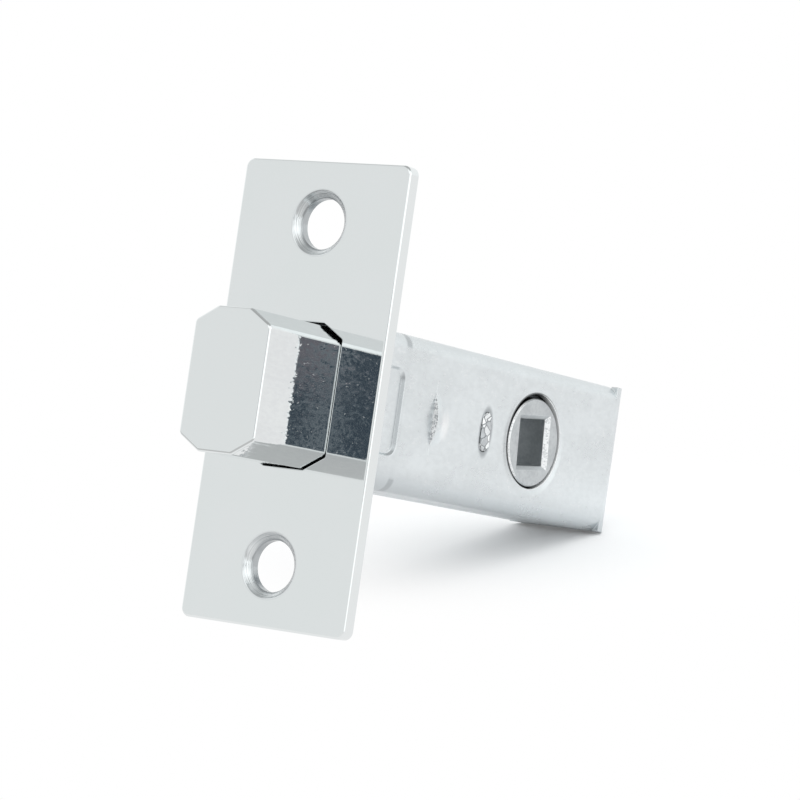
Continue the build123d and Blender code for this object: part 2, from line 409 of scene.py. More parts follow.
plate = {
    "height": 57.0, "width": 25.0, "front": -2.0, "back": 0.0, "corner": 1.15,
    "frontEdge": 0.35, "rearEdge": 0.3,
    "holeSpacing": 41.9, "hole": 6.3, "countersink": 8.1, "rim": 0.16, "throat": 0.1, "holeSteps": 96,
    # the opening's corners in X and Z, close to the bolt on the right, above and below
    "opening": [(-6.25, 7.2), (-3.3, 8.8), (2.95, 8.8), (5.99, 7.0), (5.99, -7.22), (2.9, -9.03), (-3.1, -9.03),
                (-6.25, -7.3)],
    "openingRound": 0.25, "openingRim": 0.17,
    # clouds are two scales and the share of the finer one
    "colour": (0.835, 0.865, 0.865), "cloudColour": (0.845, 0.868, 0.872), "cloud": (90.0, 1400.0, 0.25),
    "roughness": 0.03, "cloudRoughness": 0.03,
    "marks": {"Stretch": (1.0, 1.0, 0.3), "Scale": 2500.0, "Lean": (0.004, 0.0, 0.004)},
}
# the opening's walls: a near-black colour that paints the shade in the gaps round the bolt
openingWallShade = {"colour": (0.012, 0.013, 0.014), "cloudColour": (0.035, 0.037, 0.04), "cloud": (700.0, 2500.0, 0.5),
               "roughness": 0.6, "specular": 0.15}
# smooth steps: from, to, value at from, value at to; the throat's is by the distance from the hole's axis in metres
cone = {"colour": (0.86, 0.885, 0.89), "ringColour": (0.7, 0.73, 0.74), "shade": (0.3, 0.32, 0.335), "roughness": 0.09,
        "ringsPerMetre": 5200.0, "ringDepth": 0.00004, "rings": (0.4, 0.6), "throat": (0.00325, 0.0034, 0.62, 0.0),
        "upper": (-0.6, -0.25, 0.45, 0.0), "away": (-0.6, -0.3, 0.8, 0.0)}


def makePlateMaterial():
    material, tree, shader = startFinish("polishedPlate", plate)
    cloud = mottle(tree, *plate["cloud"])
    marks = placeGroup(tree, brushGroup, Normal=surfaceNormal(tree), **plate["marks"])
    rough = addMath(tree, "MULTIPLY_ADD", cloud, plate["cloudRoughness"], plate["roughness"])
    tint = mixColour(tree, cloud, plate["colour"], plate["cloudColour"])
    wire(tree, shader, Base_Color=tint, Roughness=rough, Normal=marks.outputs["Normal"])
    return material


def makeShadyMaterial():
    # the walls of the bolt's opening, painted near black as the shade in the gaps round the bolt
    material, tree, shader = startFinish("openingWallShade", openingWallShade)
    shader.inputs["Metallic"].default_value = 0.0
    shader.inputs["Specular IOR Level"].default_value = openingWallShade["specular"]
    cloud = mottle(tree, *openingWallShade["cloud"])
    wire(tree, shader, Base_Color=mixColour(tree, cloud, openingWallShade["colour"], openingWallShade["cloudColour"]))
    return material


def makeSinkMaterial():
    # the screw holes' cones, turned on a drill, so ringed round their axes
    material, tree, shader = startFinish("turnedCone", cone)
    x, y, z = splitAxes(tree, objectPlace(tree))
    level = addMath(tree, "SUBTRACT", addMath(tree, "ABSOLUTE", z), plate["holeSpacing"] / 2 * mm)
    far = addMath(tree, "SQRT", addMath(tree, "ADD", times(tree, level, level), times(tree, x, x)))
    rings = addNode(tree, "ShaderNodeTexNoise", Detail=2.0, Scale=1.0)
    rings.noise_dimensions = "1D"
    wire(tree, rings, W=times(tree, addMath(tree, "SUBTRACT", far, y), cone["ringsPerMetre"]))
    ring = rings.outputs["Fac"]
    tint = mixColour(tree, addRamp(tree, ring, *cone["rings"]), cone["colour"], cone["ringColour"])
    # painted shade deep in the hole's throat
    tint = mixColour(tree, addRamp(tree, far, *cone["throat"]), tint, cone["shade"])
    # painted shade on its upper side and on the side away from the light
    right, _, up = splitAxes(tree, surfaceNormal(tree, "True Normal"))
    shaded = addMath(tree, "MAXIMUM", addRamp(tree, up, *cone["upper"]), addRamp(tree, right, *cone["away"]))
    tint = mixColour(tree, shaded, tint, cone["shade"])
    wire(tree, shader, Base_Color=tint, Normal=addBump(tree, ring, cone["ringDepth"]))
    return material


def makeFaceplate():
    skin = newSkin()
    front, back = plate["front"], plate["back"]
    halfWide, halfHigh = plate["width"] / 2, plate["height"] / 2
    # Drawn with the material on the left, so that the normals point out of it
    outline = roundPath([(-halfWide, -halfHigh), (halfWide, -halfHigh), (halfWide, halfHigh), (-halfWide, halfHigh)],
                        [plate["corner"]] * 4, True, 14)
    rimFront, rimBack = plate["frontEdge"], plate["rearEdge"]
    addSweep(skin, outline, roundPath([(-rimFront, front), (0, front), (0, back), (-rimBack, back)],
                                      [0, rimFront, rimBack, 0], False, 8))
    opening = roundPath(plate["opening"], [plate["openingRound"]] * 8, True, 4)
    edge = plate["openingRim"]
    wall = roundPath([(-2 * edge, front), (0, front), (0, back), (-2 * edge, back)], [0, edge, edge, 0], False, 6)
    # the front of its rim is plated like the face, the rest has the walls' near-black painted shade
    plated = 5
    addSweep(skin, opening, (wall[0][:plated + 1], wall[1][:plated + 1]))
    addSweep(skin, opening, (wall[0][plated:], wall[1][plated:]), 1)
    holes = []
    deep = (plate["countersink"] - plate["hole"]) / 2
    lip = plate["rim"]
    for side in (1, -1):
        hole = circlePath((0, side * plate["holeSpacing"] / 2), plate["countersink"] / 2, plate["holeSteps"])
        profile = roundPath([(-lip, front), (0, front), (deep, front + deep), (deep, back), (deep - lip, back)],
                            [0, lip, plate["throat"], lip / 2, 0], False, 7)
        addSweep(skin, hole, profile, 2)
        holes.append(hole)
    addFlat(skin, [offset(outline, -rimFront), offset(opening, -2 * edge)] + [offset(h, -lip) for h in holes],
            lambda flat: upright(flat, front), (0, -1, 0))
    addFlat(skin, [offset(outline, -rimBack), offset(opening, -2 * edge)] + [offset(h, deep - lip) for h in holes],
            lambda flat: upright(flat, back), (0, 1, 0))
    return finishSkin("faceplateSkin", skin, [makePlateMaterial(), makeShadyMaterial(), makeSinkMaterial()], "root",
                      ["faceplate"])


makeFaceplate()
dress("faceplate", bpy.data.materials["polishedPlate"])

# Bolt head: an octagonal bar with softened edges, polished along its length

bolt = {
    "middle": (0.3, -0.2), "width": 11.3, "height": 17.4, "cut": (3.15, 1.85),
    "front": -16.1, "shoulder": 10.0, "longRound": 0.8, "noseRound": 0.4,
    "tenonEnd": 14.6, "tenonThick": 3.6, "tenonHigh": 15.0,
    "rivetBack": 12.3, "rivetSpacing": 9.0, "rivetHole": 2.6,
    "colour": (0.835, 0.86, 0.862), "cloudColour": (0.79, 0.81, 0.82), "cloud": (240.0, 2200.0, 0.45),
    "roughness": 0.03, "cloudRoughness": 0.028,
    # the marks lean the normal along the bar and upright, and on its front hardly at all
    "leanAlong": 0.042, "leanUp": 0.04, "frontLean": 0.003, "sides": (0.05, 0.5, 1.0, 0.0),
    "marks": {"Stretch": (1.0, 0.35, 0.8), "Scale": 3000.0},
}


def makeBoltMaterial():
    material, tree, shader = startFinish("polishedBolt", bolt)
    normal = surfaceNormal(tree)
    cloud = mottle(tree, *bolt["cloud"], Stretch=(1.0, 0.4, 1.0))
    # the front is smooth, the sides carry marks along the bar
    facing = addVector(tree, "DOT_PRODUCT", normal, (0.0, -1.0, 0.0))
    sideways = addRamp(tree, facing, *bolt["sides"])
    lean = tree.nodes.new("ShaderNodeCombineXYZ")
    wire(tree, lean, Y=times(tree, sideways, bolt["leanAlong"]),
         Z=addMath(tree, "MULTIPLY_ADD", sideways, bolt["leanUp"], bolt["frontLean"]))
    marks = placeGroup(tree, brushGroup, Lean=lean.outputs[0], Normal=normal, **bolt["marks"])
    rough = addMath(tree, "MULTIPLY_ADD", cloud, bolt["cloudRoughness"], bolt["roughness"])
    tint = mixColour(tree, times(tree, cloud, sideways), bolt["colour"], bolt["cloudColour"])
    wire(tree, shader, Base_Color=tint, Roughness=rough, Normal=marks.outputs["Normal"])
    return material


def makeBoltHead():
    skin = newSkin()
    middle = np.array(bolt["middle"])
    wide, high = bolt["width"] / 2, bolt["height"] / 2
    cutWide, cutHigh = bolt["cut"]
    corners = [(wide, cutHigh - high), (wide, high - cutHigh), (wide - cutWide, high), (cutWide - wide, high),
               (-wide, high - cutHigh), (-wide, cutHigh - high), (cutWide - wide, -high), (wide - cutWide, -high)]
    section = roundPath([middle + c for c in corners], [bolt["longRound"]] * 8, True, 8)
    nose = bolt["noseRound"]
    front, shoulder = bolt["front"], bolt["shoulder"]
    addSweep(skin, section, roundPath([(-nose, front), (0, front), (0, shoulder)], [0, nose, 0], False, 9))
    addFlat(skin, [offset(section, -nose)], lambda flat: upright(flat, front), (0, -1, 0))
    thick, tall = bolt["tenonThick"] / 2, bolt["tenonHigh"] / 2
    foot = np.array([middle + c for c in ((thick, -tall), (thick, tall), (-thick, tall), (-thick, -tall))])
    addFlat(skin, [offset(section, 0), foot], lambda flat: upright(flat, shoulder), (0, 1, 0))
    end = bolt["tenonEnd"]
    addFlat(skin, [foot], lambda flat: upright(flat, end), (0, 1, 0))
    # The tenon's four sides, the broad ones with the rivets' holes through them
    holes = [circlePath((bolt["rivetBack"], middle[1] + side * bolt["rivetSpacing"] / 2), bolt["rivetHole"] / 2, 32)
             for side in (1, -1)]
    broad = np.array([(shoulder, middle[1] - tall), (end, middle[1] - tall), (end, middle[1] + tall),
                      (shoulder, middle[1] + tall)])
    for side in (1, -1):
        at = middle[0] + side * thick
        addFlat(skin, [broad] + [h[0] for h in holes],
                lambda flat: np.column_stack([np.full(len(flat), at), flat[:, 0], flat[:, 1]]), (side, 0, 0))
        edge = np.array([[(middle[0] + x, y, middle[1] + side * tall) for y in (shoulder, end)]
                         for x in (-thick, thick)])
        addGrid(skin, edge, np.broadcast_to((0.0, 0.0, float(side)), edge.shape))
    for points, normals in holes:
        points, normals = np.vstack([points, points[:1]]), np.vstack([normals, normals[:1]])
        wall = np.array([np.column_stack([np.full(len(points), middle[0] + x), points]) for x in (-thick, thick)])
        facing = np.column_stack([np.zeros(len(normals)), normals])
        addGrid(skin, wall, np.array([facing, facing]))
    return finishSkin("boltSkin", skin, [makeBoltMaterial()], "bolt", ["bolt_head"])


makeBoltHead()
dress("bolt_head", bpy.data.materials["polishedBolt"])

# Case: bright zinc, with painted shade and painted highlights round the pressed and punched places

case = {
    "right": 7.45, "left": -6.85, "middle": 0.3, "level": -0.2,
    # places on the cheek in Y and Z
    "hub": (40.3, -0.05), "slot": (29.0, -0.2), "highlightSpot": (19.4, -0.5), "pocketEnd": 10.1,
    "colour": (0.795, 0.83, 0.845), "dark": (0.735, 0.77, 0.785), "cloud": (230.0, 1700.0, 0.5),
    "roughness": 0.27, "cloudRoughness": 0.12,
    "patchColour": (0.69, 0.725, 0.735), "patches": (75.0, 240.0, 0.3), "patchShare": 0.3,
    "speckColour": (0.85, 0.87, 0.88), "specks": (900.0, 3800.0, 0.55), "speckShare": 0.55,
    "edgeColour": (0.9, 0.91, 0.92), "slotShadeColour": (0.2, 0.22, 0.235), "insideShadeColour": (0.07, 0.074, 0.08),
    "hubShadeColour": (0.09, 0.095, 0.1), "foldShadeColour": (0.46, 0.49, 0.51), "stepShadeColour": (0.42, 0.445, 0.46),
    "highlightSpotColour": (1.0, 1.0, 1.0), "shearedLitColour": (0.93, 0.95, 0.95),
    # smooth steps: from, to, value at from, value at to; distances in metres
    "slotShadeRing": (0.00125, 0.00165, 0.6, 0.0), "insideAcross": (0.00625, 0.0064, 1.0, 0.0),
    "insideAloft": (0.0089, 0.0091, 1.0, 0.0), "insideBehind": (0.0609, 0.0611, 1.0, 0.0),
    "hubShadeRing": (0.0063, 0.00648, 0.9, 0.0), "hubShadeSide": (-0.004, 0.003),
    "foldShade": (-0.0102, -0.0058, 0.62, 0.0), "step": (0.0003, 0.0008, 0.75, 0.0),
    "stepAcross": (0.0071, 0.00716, 1.0, 0.0), "highlightSpotRing": (0.0004, 0.0017, 0.9, 0.0),
    "shearedRing": (0.00626, 0.00634, 1.0, 0.0), "shearedSide": (0.0, 0.003), "dishRing": (0.0061, 0.0074),
    "edge": {"Width": 0.00022, "Gain": 2.0}, "edgeShare": 0.6, "shearedMetallic": -0.8,
    "grainCloud": (1100.0, 4200.0, 0.5), "grain": 0.000004, "dish": 0.00025,
}


def ringDistance(tree, centre, stretch=1.0):
    # how far a point of a cheek lies from a centre, in metres, seen along X
    moved = addVector(tree, "SUBTRACT", objectPlace(tree), (0.0, centre[0] * mm, centre[1] * mm))
    return addVector(tree, "LENGTH", addVector(tree, "MULTIPLY", moved, (0.0, 1.0, stretch)))


def makeCaseMaterial():
    material, tree, shader = startFinish("zincCase", case)
    cloud = mottle(tree, *case["cloud"], Stretch=(1.0, 0.6, 1.0))
    patches = mottle(tree, *case["patches"], Low=0.4, High=0.62)
    specks = mottle(tree, *case["specks"], Stretch=(1.0, 0.5, 1.0), Low=0.56, High=0.66)
    edge = placeGroup(tree, edgeGroup, **case["edge"])
    tint = mixColour(tree, cloud, case["dark"], case["colour"])
    # patches and specks are the zinc's own, the lighter edges partly wear and partly painted highlight
    for mask, kind in ((patches, "patch"), (specks, "speck"), (edge.outputs["Mask"], "edge")):
        tint = mixColour(tree, times(tree, mask, case[kind + "Share"]), tint, case[kind + "Colour"])
    # painted shade round the slot, where the gap round the lug lies
    slotShade = addRamp(tree, ringDistance(tree, case["slot"], 0.45), *case["slotShadeRing"])
    tint = mixColour(tree, slotShade, tint, case["slotShadeColour"])
    # painted shade: the inside is coloured near black, by its distances from the case's middle line and from the plate
    middle = (case["middle"] * mm, 0.0, case["level"] * mm)
    inward = addVector(tree, "ABSOLUTE", addVector(tree, "SUBTRACT", objectPlace(tree), middle))
    across, behind, aloft = splitAxes(tree, inward)
    within = times(tree, addRamp(tree, across, *case["insideAcross"]), addRamp(tree, aloft, *case["insideAloft"]))
    within = times(tree, within, addRamp(tree, behind, *case["insideBehind"]))
    tint = mixColour(tree, within, tint, case["insideShadeColour"])
    # painted shade on the edge of the hub's hole, at the front and above
    hubFar = ringDistance(tree, case["hub"])
    rearward = addMath(tree, "SUBTRACT", behind, case["hub"][0] * mm)
    height = splitAxes(tree, objectPlace(tree))["Z"]
    toward = addMath(tree, "SUBTRACT", addMath(tree, "SUBTRACT", height, case["hub"][1] * mm), rearward)
    hubShade = times(tree, addRamp(tree, hubFar, *case["hubShadeRing"]), addRamp(tree, toward, *case["hubShadeSide"]))
    tint = mixColour(tree, hubShade, tint, case["hubShadeColour"])
    # painted shade along the lower fold and on the pocket's rear step, and a painted highlight on top of the barb
    tint = mixColour(tree, addRamp(tree, height, *case["foldShade"]), tint, case["foldShadeColour"])
    step = addMath(tree, "ABSOLUTE", addMath(tree, "SUBTRACT", behind, case["pocketEnd"] * mm))
    step = times(tree, addRamp(tree, step, *case["step"]), addRamp(tree, across, *case["stepAcross"]))
    tint = mixColour(tree, step, tint, case["stepShadeColour"])
    highlightSpot = addRamp(tree, ringDistance(tree, case["highlightSpot"], 0.7), *case["highlightSpotRing"])
    tint = mixColour(tree, highlightSpot, tint, case["highlightSpotColour"])
    # the sheared wall at the rear of the hub's hole is bare metal, painted pale as if lit
    wall = times(tree, addRamp(tree, hubFar, *case["shearedRing"]), addRamp(tree, rearward, *case["shearedSide"]))
    shearedLit = times(tree, wall, addMath(tree, "SUBTRACT", 1.0, within))
    tint = mixColour(tree, shearedLit, tint, case["shearedLitColour"])
    rough = addMath(tree, "MULTIPLY_ADD", cloud, case["cloudRoughness"], case["roughness"])
    # the hub's hole is punched, so the sheet is drawn in round its edge
    dish = addBump(tree, addRamp(tree, hubFar, *case["dishRing"]), case["dish"], edge.outputs["Normal"])
    grain = mottle(tree, *case["grainCloud"], Stretch=(1.0, 0.7, 1.0), Low=0.25, High=0.75)
    wire(tree, shader, Base_Color=tint, Roughness=rough, Normal=addBump(tree, grain, case["grain"], dish),
         Metallic=addMath(tree, "MULTIPLY_ADD", wall, case["shearedMetallic"], 1.0))
    return material


caseMaterial = makeCaseMaterial()
dress("case", caseMaterial)

# Lanced barbs: the cheek swells smoothly up to a torn edge that faces the plate

barb = {"front": 17.02, "foot": 3.1, "rise": 0.79, "soft": 0.075, "far": 4.5, "sunk": 0.3,
        "lift": 0.004, "rimDrop": 0.012, "columns": 61, "rows": 28,
        "colour": (1.0, 1.0, 1.0), "pit": (0.46, 0.475, 0.49), "roughness": 0.4, "metallic": 0.25,
        "grain": (2600.0, 6500.0, 0.5), "grainDepth": 0.00006}


def makeTornMaterial():
    # bright grains and dark pits of sheared metal
    material, tree, shader = startFinish("tornEdge", barb)
    shader.inputs["Metallic"].default_value = barb["metallic"]
    grain = mottle(tree, *barb["grain"], Low=0.4, High=0.55)
    wire(tree, shader, Base_Color=mixColour(tree, grain, barb["pit"], barb["colour"]),
         Normal=addBump(tree, grain, barb["grainDepth"]))
    return material


tornMaterial = makeTornMaterial()


def swell(z, back):
    # height of the swelling: a dome cut off smoothly where it would go under the cheek
    dome = barb["rise"] * (1 - (z ** 2 + back ** 2) / barb["foot"] ** 2)
    return barb["soft"] * np.log1p(np.exp(dome / barb["soft"]))


def makeBarb(side):
    skin = newSkin()
    face = case["right"] if side > 0 else case["left"]
    z = barb["far"] * np.sin(np.linspace(-math.pi / 2, math.pi / 2, barb["columns"]))
    share = np.linspace(0, 1, barb["rows"])
    reach = np.sqrt(np.maximum(barb["far"] ** 2 - z ** 2, 0))
    backGrid = share[:, None] * reach[None, :]
    zGrid = np.broadcast_to(z, backGrid.shape)
    step = 1e-4
    height = swell(zGrid, backGrid)
    slopeBack = (swell(zGrid, backGrid + step) - height) / step
    slopeZ = (swell(zGrid + step, backGrid) - height) / step
    rim = share[:, None] ** 8

    def place(lift, depth):
        return np.stack([face + side * lift, barb["front"] + depth, zGrid[:len(depth)] + case["level"]], axis=-1)

    top = place(height + barb["lift"] - barb["rimDrop"] * rim, backGrid)
    addGrid(skin, top, np.stack([np.full_like(height, side), -slopeBack, -slopeZ], axis=-1))
    low = place(np.full_like(height, -barb["sunk"]), backGrid)
    addGrid(skin, low, np.broadcast_to((-float(side), 0.0, 0.0), low.shape))
    ends = np.array([top[0], low[0]])
    addGrid(skin, ends, np.broadcast_to((0.0, -1.0, 0.0), ends.shape), 1)
    walls = np.array([top[-1], low[-1]])
    outward = np.stack([np.zeros(len(z)), reach / barb["far"] + 1e-6, z / barb["far"]], axis=-1)
    addGrid(skin, walls, np.array([outward, outward]))
    name = "barbRight" if side > 0 else "barbLeft"
    finishSkin(name, skin, [caseMaterial, tornMaterial], "root")


for cheek in (1, -1):
    makeBarb(cheek)

# Staked lug ends: the bridge's lugs are hammered over in their slots into facets, with painted glints and painted shade
# on them

stake = {"back": 29.0, "halfWide": 1.02, "halfHigh": 2.45, "lift": 0.05, "peak": 0.34, "sunk": 0.25,
         # rows of points up the lug, the low points' share of the peak, and the ridge's sideways swing
         "rows": 7, "lowShare": 0.25, "swing": (-0.5, 0.45), "rearLift": 0.1,
         "colour": (0.93, 0.945, 0.95), "dark": (0.5, 0.52, 0.535), "creaseShade": (0.16, 0.17, 0.18), "roughness": 0.16,
         "metallic": 0.55, "cells": 950.0, "grain": (1500.0, 4500.0, 0.4), "grainDepth": 0.000006,
         "cellRange": (0.15, 0.5), "creaseRange": (0.02, 0.1, 0.85, 0.0)}


def makeStakeMaterial():
    # hammered cells, some painted bright as glints and some dark as shade, with painted shade in the creases between
    # them
    material, tree, shader = startFinish("stakedSteel", stake)
    shader.inputs["Metallic"].default_value = stake["metallic"]
    cells = addNode(tree, "ShaderNodeTexVoronoi", Scale=stake["cells"], Randomness=1.0)
    creases = addNode(tree, "ShaderNodeTexVoronoi", Scale=stake["cells"], Randomness=1.0)
    creases.feature = "DISTANCE_TO_EDGE"
    for pattern in (cells, creases):
        wire(tree, pattern, Vector=objectPlace(tree))
    parts = tree.nodes.new("ShaderNodeSeparateColor")
    tree.links.new(cells.outputs["Color"], parts.inputs[0])
    tint = mixColour(tree, addRamp(tree, parts.outputs[0], *stake["cellRange"]), stake["dark"], stake["colour"])
    creaseShade = addRamp(tree, creases.outputs["Distance"], *stake["creaseRange"])
    tint = mixColour(tree, creaseShade, tint, stake["creaseShade"])
    wire(tree, shader, Base_Color=tint, Normal=addBump(tree, mottle(tree, *stake["grain"]), stake["grainDepth"]))
    return material


stakeMaterial = makeStakeMaterial()


def makeStake(side):
    # ridges zigzag up the lug, high and low points by turns on its two sides
    skin = newSkin()
    face = case["right"] if side > 0 else case["left"]
    rows = stake["rows"]
    high = np.linspace(-1, 1, rows) * stake["halfHigh"]
    half = stake["halfWide"] * np.sqrt(np.clip(1.06 - (high / stake["halfHigh"]) ** 8, 0.15, 1))
    even = np.arange(rows) % 2 == 0
    shift = np.where(even, *stake["swing"])
    lift = stake["lift"]
    middleLift = lift + stake["peak"] * np.where(even, 1.0, stake["lowShare"])
    left = np.column_stack([face + side * np.full(rows, lift), stake["back"] - half, high])
    middle = np.column_stack([face + side * middleLift, stake["back"] + shift * half, high])
    right = np.column_stack([face + side * (lift + stake["rearLift"] * ~even), stake["back"] + half, high])
    top = np.array([left, middle, right])
    top[:, :, 2] += case["level"]
    low = top.copy()
    low[:, :, 0] = face - side * stake["sunk"]

    def flatFaces(grid, away):
        # each square as two flat triangles, cut the same way as their neighbours by turns
        for i in range(grid.shape[0] - 1):
            for j in range(grid.shape[1] - 1):
                a, b, c, d = grid[i, j], grid[i + 1, j], grid[i + 1, j + 1], grid[i, j + 1]
                for three in (((a, b, c), (a, c, d)) if (i + j) % 2 else ((a, b, d), (b, c, d))):
                    across = np.cross(three[1] - three[0], three[2] - three[0])
                    if np.linalg.norm(across) < 1e-9:
                        continue
                    across = across / np.linalg.norm(across)
                    across = across if across @ np.array(away) > 0 else -across
                    addPatch(skin, three, [across] * 3, [(0, 1, 2)])

    flatFaces(top, (side, 0, 0))
    flatFaces(low, (-side, 0, 0))
    for end, sign in ((0, -1), (-1, 1)):
        flatFaces(np.array([top[end], low[end]]), (0, sign, 0))
    for end, sign in ((0, -1), (-1, 1)):
        flatFaces(np.array([top[:, end], low[:, end]]), (0, 0, sign))
    name = "stakeRight" if side > 0 else "stakeLeft"
    finishSkin(name, skin, [stakeMaterial], "root")


for cheek in (1, -1):
    makeStake(cheek)

# Follower: a satin casting, with painted light on the broached slopes of its socket's mouth, on the side away from the
# plate

follower = {"colour": (0.60, 0.625, 0.635), "dark": (0.5, 0.525, 0.54), "cloud": (500.0, 2600.0, 0.5),
            "roughness": 0.3, "cloudRoughness": 0.12, "edgeColour": (0.85, 0.87, 0.87),
            "bright": (0.93, 0.94, 0.94), "litBevelDark": (0.6, 0.62, 0.63), "broach": (2300.0, 5200.0, 0.5),
            "gapShade": (0.05, 0.055, 0.06), "grainDepth": 0.000005,
            "edge": {"Width": 0.00018, "Gain": 3.0}, "litBevelMetallic": -0.6,
            "slopeRange": (-0.35, -0.2, 1.0, 0.0), "gapShadeRing": (0.00572, 0.00578)}


def makeFollowerMaterial():
    material, tree, shader = startFinish("satinFollower", follower)
    cloud = mottle(tree, *follower["cloud"])
    edge = placeGroup(tree, edgeGroup, **follower["edge"])
    tint = mixColour(tree, cloud, follower["dark"], follower["colour"])
    # lighter edges: partly wear, partly painted highlight
    tint = mixColour(tree, edge.outputs["Mask"], tint, follower["edgeColour"])
    # painted light on slopes that face both outward and to the front, pale and less metallic over their broached grain
    out, back, _ = splitAxes(tree, surfaceNormal(tree, "True Normal"))
    slope = times(tree, addMath(tree, "ABSOLUTE", out), back)
    facing = addRamp(tree, slope, *follower["slopeRange"])
    grain = mottle(tree, *follower["broach"], Low=0.38, High=0.55)
    tint = mixColour(tree, facing, tint, mixColour(tree, grain, follower["litBevelDark"], follower["bright"]))
    # painted shade on the turned side of each disc, down in the gap round it
    gapShaded = addRamp(tree, ringDistance(tree, (case["hub"][0], case["level"])), *follower["gapShadeRing"])
    tint = mixColour(tree, gapShaded, tint, follower["gapShade"])
    wire(tree, shader, Base_Color=tint, Metallic=addMath(tree, "MULTIPLY_ADD", facing, follower["litBevelMetallic"], 1.0),
         Roughness=addMath(tree, "MULTIPLY_ADD", cloud, follower["cloudRoughness"], follower["roughness"]),
         Normal=addBump(tree, cloud, follower["grainDepth"], edge.outputs["Normal"]))
    return material


dress("follower", makeFollowerMaterial())

# Inner steel and the spring strip

# node: finish, colour, roughness, scale of its clouds, depth of its grain in metres
plainFinishes = {
    "guide_bridge": ("bridgeSteel", (0.72, 0.74, 0.76), 0.26, 900.0, 0.000004),
    "tail_plate_right": ("tailSteel", (0.64, 0.66, 0.68), 0.36, 500.0, 0.000003),
    "tail_spacer": ("pinSteel", (0.60, 0.61, 0.62), 0.30, 900.0, 0.000002),
    "detent_spring": ("springSteel", (0.42, 0.43, 0.45), 0.28, 800.0, 0.000002),
}
# shares of the colour in the clouds and at the edges, the lighter edges partly wear and partly painted highlight
plain = {"dark": 0.9, "bright": 1.3, "cloudRoughness": 0.12, "edge": {"Width": 0.0002, "Gain": 3.0}}


def makePlainMetal(name, colour, roughness, scale, depth):
    material, tree, shader = startFinish(name, {"colour": colour, "roughness": roughness})
    cloud = mottle(tree, scale, scale * 4, 0.5)
    edge = placeGroup(tree, edgeGroup, **plain["edge"])
    tint = mixColour(tree, cloud, [plain["dark"] * c for c in colour], colour)
    tint = mixColour(tree, edge.outputs["Mask"], tint, [min(1.0, plain["bright"] * c) for c in colour])
    wire(tree, shader, Base_Color=tint,
         Roughness=addMath(tree, "MULTIPLY_ADD", cloud, plain["cloudRoughness"], roughness),
         Normal=addBump(tree, cloud, depth, edge.outputs["Normal"]))
    return material


plainMetals = {name: makePlainMetal(*finish) for name, finish in plainFinishes.items()}
for nodeName, plainMetal in plainMetals.items():
    dress(nodeName, plainMetal)
dress("tail_plate_left", plainMetals["tail_plate_right"])
dress("tail_rivets", plainMetals["tail_spacer"])
print("finishes made")


# Camera, at the photograph's angle: fitted to the straight edges and round holes

view = {
    "place": (238.554, -312.390, -22.226),
    "right": (0.80898, 0.57031, 0.14243),
    "forward": (-0.58214, 0.81092, 0.05938),
    "focalPixels": 3246.6,
    "picturePixels": 800.0,
    "sensor": 36.0,
}


def makeCamera():
    data = bpy.data.cameras.new("viewCamera")
    data.sensor_width = view["sensor"]
    data.lens = view["focalPixels"] / view["picturePixels"] * view["sensor"]
    data.clip_start = 0.01
    data.clip_end = 20.0
    camera = addObject("viewCamera", data)
    right = Vector(view["right"]).normalized()
    back = -Vector(view["forward"]).normalized()
    up = back.cross(right)
    turn = Matrix((right, up, back)).transposed().to_4x4()
    camera.matrix_world = Matrix.Translation(Vector(view["place"]) * mm) @ turn
    bpy.context.scene.camera = camera


makeCamera()

# The floor touches the faceplate's lower back edge and the case's lower rear edge

floorPlan = {"plateFoot": (0.0, -28.52), "caseFoot": (61.0, -10.0), "half": 3000.0, "albedo": 0.9,
             # added light, and the distances from a middle, in metres, over which the floor turns plain white
             "glow": 0.1, "fade": (0.012, 0.052), "middle": (0.0, 0.060, -0.011),
             # what reflections see: a little less than white, and grey in front of the plate
             "mirrorLoss": -0.09, "frontGrey": 0.58, "front": (-0.034, -0.024, 1.0, 0.0)}


def bareMaterial(name):
    # a material that holds only its output
    material = bpy.data.materials.new(name)
    material.use_nodes = True
    tree = material.node_tree
    tree.nodes.clear()
    return material, tree, tree.nodes.new("ShaderNodeOutputMaterial")


